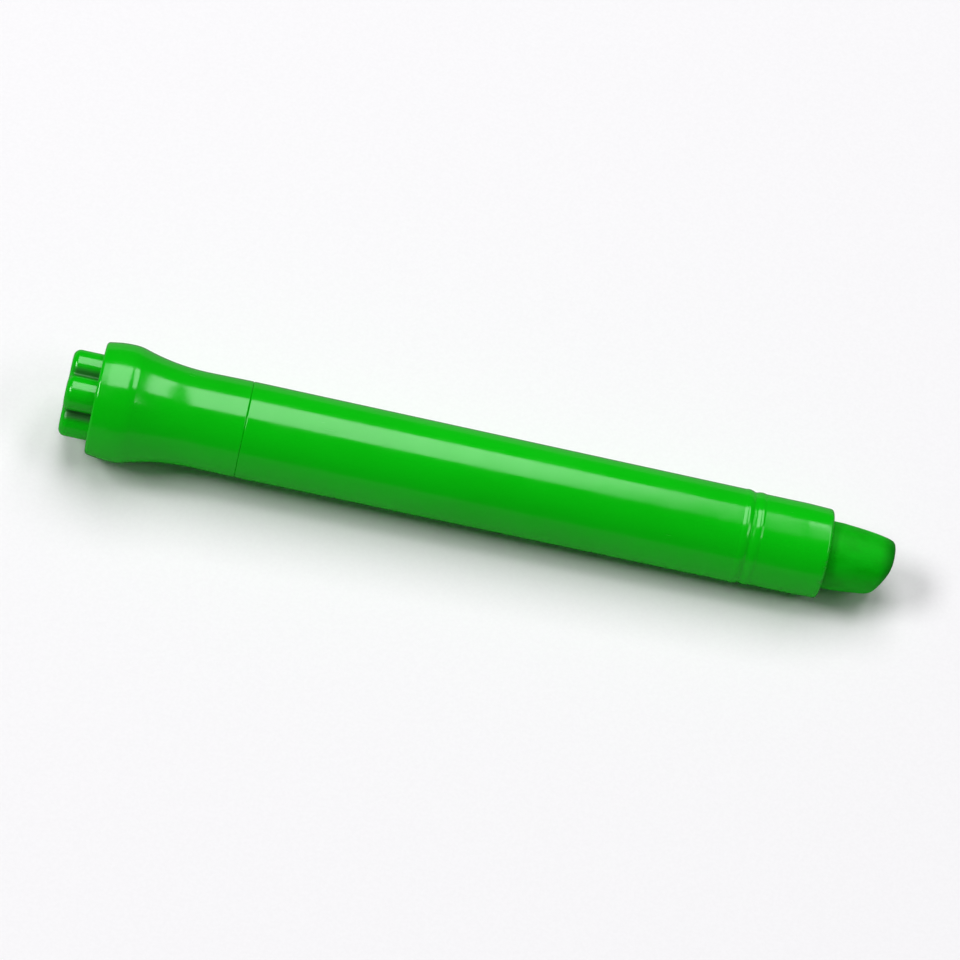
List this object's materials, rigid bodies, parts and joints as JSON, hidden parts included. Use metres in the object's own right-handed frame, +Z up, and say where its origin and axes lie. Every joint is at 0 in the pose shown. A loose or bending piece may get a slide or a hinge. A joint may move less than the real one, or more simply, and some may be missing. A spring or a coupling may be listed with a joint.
{
  "type": "twist crayon",
  "caption": "Twist-up gel crayon with a round tapered barrel, flared tail with a petal dial, and a lead screw that winds the stick in and out of the nose.",
  "frame": {"origin": "on the surface that the crayon lies on, under the middle of its length", "axes": "+X along the crayon from the dial to the tip, +Z up, the crayon lying on its side"},
  "size_m": [0.1292, 0.0184, 0.0183],
  "materials": {
    "shell": "glossy moulded plastic, bright green",
    "dial": "glossy moulded plastic, bright green, lightly rubbed on the petals",
    "stick": "waxy gel crayon, deep green, satin, smeared and worn at the tip",
    "mechanism": "natural moulded plastic, satin",
    "seal": "matt rubber"
  },
  "bodies": {
    "housing": {"barrel": "shell", "tail_collar": "shell"},
    "dial": {"twist_dial": "dial", "spindle": "mechanism", "seal_ring": "seal"},
    "stick": {"crayon_stick": "stick", "carrier": "mechanism"}
  },
  "joints": [
    {"name": "dial_twist", "type": "hinge", "parent": "housing", "child": "dial", "pos_m": [-0.0646, 0, 0.00915], "axis": [1, 0, 0], "range_deg": [-672.5, 2676.5]},
    {"name": "stick_slide", "type": "slide", "parent": "housing", "child": "stick", "axis": [1, 0, 0], "range_m": [-0.0112, 0.0446]}
  ],
  "couplings": [
    {"joint": "dial_twist", "follows": "stick_slide", "rad_per_m": 1047.2}
  ]
}
